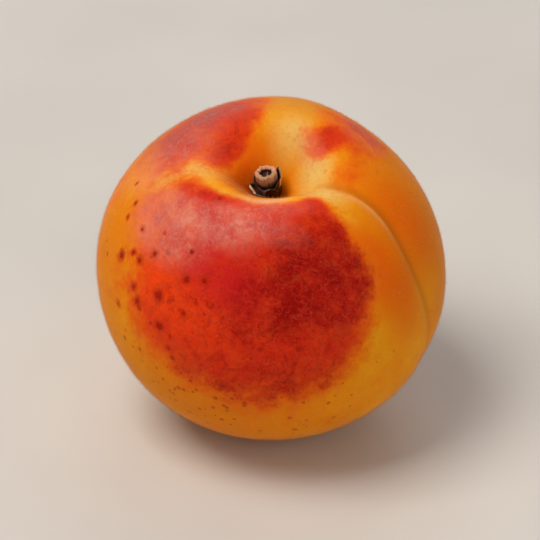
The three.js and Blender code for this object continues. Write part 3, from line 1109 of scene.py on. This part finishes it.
def spike_mesh(name, points):
    """A mesh of loose three-sided spikes from an array of spikes by four corners by x, y, z."""
    points = points.reshape(-1, 3)
    base = 4 * np.arange(len(points) // 4)[:, None, None]
    faces = (base + np.array([[0, 2, 1], [0, 1, 3], [1, 2, 3], [2, 0, 3]])).reshape(-1, 3)
    mesh = bpy.data.meshes.new(name)
    mesh.vertices.add(len(points))
    mesh.vertices.foreach_set("co", (points * MM).astype(np.float32).ravel())
    mesh.loops.add(faces.size)
    mesh.loops.foreach_set("vertex_index", faces.astype(np.int32).ravel())
    mesh.polygons.add(len(faces))
    mesh.polygons.foreach_set("loop_start", (3 * np.arange(len(faces))).astype(np.int32))
    mesh.update(calc_edges=True)
    return mesh


def down(name, mean_length, material, rng):
    """Short leaning hairs, each a slim three-sided spike rooted just under the skin."""
    polar = np.degrees(np.arccos(rng.uniform(-1, 1, DOWN_HAIRS)))
    from_seam = rng.uniform(-180, 180, DOWN_HAIRS)
    root, normal, to_tip, sideways = skin_axes(polar, from_seam)
    points = to_world(hair_corners(root, normal, to_tip, sideways, mean_length, rng))
    foot = root - DOWN_ROOT * normal
    by_stalk = (np.hypot(foot[:, 0], foot[:, 1]) < BARE_FOOT) & (foot[:, 2] > 0)
    in_crease = (np.abs(beside_seam(polar, from_seam)) < BARE_CREASE) & (polar < BARE_CREASE_END)
    too_low = points[:, :, 2].min(1) < DOWN_FLOOR
    grown = ~(by_stalk | in_crease | too_low)

    skin = colour_masks(polar, from_seam + seam_bow(polar))
    # The hairs take the skin's redness, and the painted shade round the stalk's foot.
    masks = {
        "redness": np.repeat(skin["blush"][grown], len(points[0])),
        "shade": np.repeat(skin["foot"][grown], len(points[0])),
    }
    add_piece(spike_mesh(name, points[grown]), material, masks)


fruit()
stalk()
bud_scales()
down_rng = np.random.default_rng(11)
down_hairs = down_material()
for down_name, down_length in DOWN_PIECES.items():
    down(down_name, down_length, down_hairs, down_rng)

# ---- Stage ----

CAMERA_ELEVATION = 32
CAMERA_DISTANCE = 500  # from the middle of the fruit
FRUIT_SHARE = 0.64  # of the picture's width
LAMP_AIM = (0, 0, 0.02)
FLOOR_HALF = 2000


def look_at(thing, target):
    thing.rotation_euler = (Vector(target) - thing.location).to_track_quat("-Z", "Y").to_euler()


def camera():
    data = bpy.data.cameras.new("camera")
    eye = bpy.data.objects.new("camera", data)
    bpy.context.scene.collection.objects.link(eye)
    middle = Vector((0, 0, REST_HEIGHT)) * MM
    up = math.radians(CAMERA_ELEVATION)
    eye.location = middle + Vector((0, -math.cos(up), math.sin(up))) * CAMERA_DISTANCE * MM
    look_at(eye, middle)
    frame_width = 2 * RADIUS / FRUIT_SHARE
    data.lens = data.sensor_width * CAMERA_DISTANCE / frame_width
    data.clip_start = 0.01
    bpy.context.scene.camera = eye


def lamp(name, place, size, power, colour):
    data = bpy.data.lights.new(name, "AREA")
    data.size = size
    data.energy = power
    data.color = srgb(colour)[:3]
    light = bpy.data.objects.new(name, data)
    bpy.context.scene.collection.objects.link(light)
    light.location = place
    look_at(light, LAMP_AIM)


def floor_plane():
    """A pale plain floor."""
    m = Shader("floor")
    cloud = m.noise(m.place(), 60, 2.0)
    material = m.finish(Base_Color=m.between(cloud, 0.3, 0.7, "cfccc8", "d6d3cf"), Roughness=0.85)
    corners = np.array([(-1, -1, 0), (1, -1, 0), (1, 1, 0), (-1, 1, 0)]) * FLOOR_HALF
    mesh = new_mesh("floor", corners, [(0, 1, 2, 3)])
    mesh.materials.append(material)
    floor = bpy.data.objects.new("floor", mesh)
    bpy.context.scene.collection.objects.link(floor)


def surroundings():
    """Soft light from all round."""
    world = bpy.data.worlds.new("studio")
    world.use_nodes = True
    background = world.node_tree.nodes["Background"]
    background.inputs["Color"].default_value = srgb("f2f0ee")
    background.inputs["Strength"].default_value = 0.30
    bpy.context.scene.world = world
    bpy.context.scene.view_settings.view_transform = "Standard"


floor_plane()
surroundings()
lamp("key", place=(-0.3, -0.15, 0.72), size=0.4, power=4.4, colour="fff6ea")
lamp("fill", place=(0.6, -0.7, 0.4), size=0.6, power=1.7, colour="fff8f0")
lamp("rim", place=(0.1, 0.7, 0.5), size=0.5, power=1.6, colour="ffffff")
camera()
